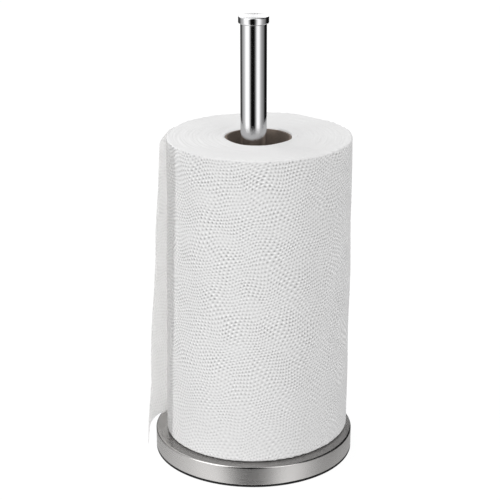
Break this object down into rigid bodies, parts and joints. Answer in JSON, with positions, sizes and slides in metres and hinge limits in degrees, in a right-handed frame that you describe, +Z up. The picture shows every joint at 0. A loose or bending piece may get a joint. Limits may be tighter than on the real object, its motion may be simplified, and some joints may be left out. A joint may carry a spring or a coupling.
{
  "type": "paper towel holder",
  "caption": "Free-standing kitchen roll holder: weighted round base with a brushed steel cover, polished post with a disc cap, and an embossed paper roll that turns and lifts off.",
  "frame": {"origin": "on the post's axis, at the underside of the non-slip pad, which is the surface that the holder stands on", "axes": "+Z up along the post; -Y towards the front; +X to the right as seen from the front, with the loose sheet on the left"},
  "size_m": [0.1559, 0.15, 0.3332],
  "materials": {
    "brushed_steel": "satin",
    "polished_steel": "polished",
    "cast_iron": "matte",
    "zinc_steel": "satin",
    "black_plastic": "matte",
    "black_rubber": "matte",
    "core_board": "matte",
    "embossed_paper": "matte"
  },
  "bodies": {
    "stand": {"base_cover": "brushed_steel", "ballast_disc": "cast_iron", "bottom_plate": "black_plastic", "nonslip_pad": "black_rubber", "plate_screw_1": "zinc_steel", "plate_screw_2": "zinc_steel", "plate_screw_3": "zinc_steel", "plate_screw_4": "zinc_steel", "post_bolt": "zinc_steel", "flat_washer": "zinc_steel", "spring_washer": "zinc_steel", "foot_seal": "black_rubber", "lower_insert": "zinc_steel", "post_tube": "polished_steel", "upper_insert": "zinc_steel", "cap_stud": "zinc_steel", "post_cap": "polished_steel"},
    "core": {"roll_core": "core_board"},
    "roll": {"paper_roll": "embossed_paper"},
    "sheet": {"loose_sheet": "embossed_paper"}
  },
  "joints": [
    {"name": "roll_lift", "type": "slide", "parent": "stand", "child": "core", "axis": [0, 0, 1], "range_m": [0, 0.325]},
    {"name": "roll_spin", "type": "hinge", "parent": "core", "child": "roll", "pos_m": [0.0034, 0.0039, 0.1303], "axis": [0, 0, 1], "continuous": true},
    {"name": "sheet_peel", "type": "hinge", "parent": "roll", "child": "sheet", "pos_m": [-0.0597, 0.032, 0.1303], "axis": [0.0637, 0.1429, -0.9877], "range_deg": [0, 60]}
  ]
}
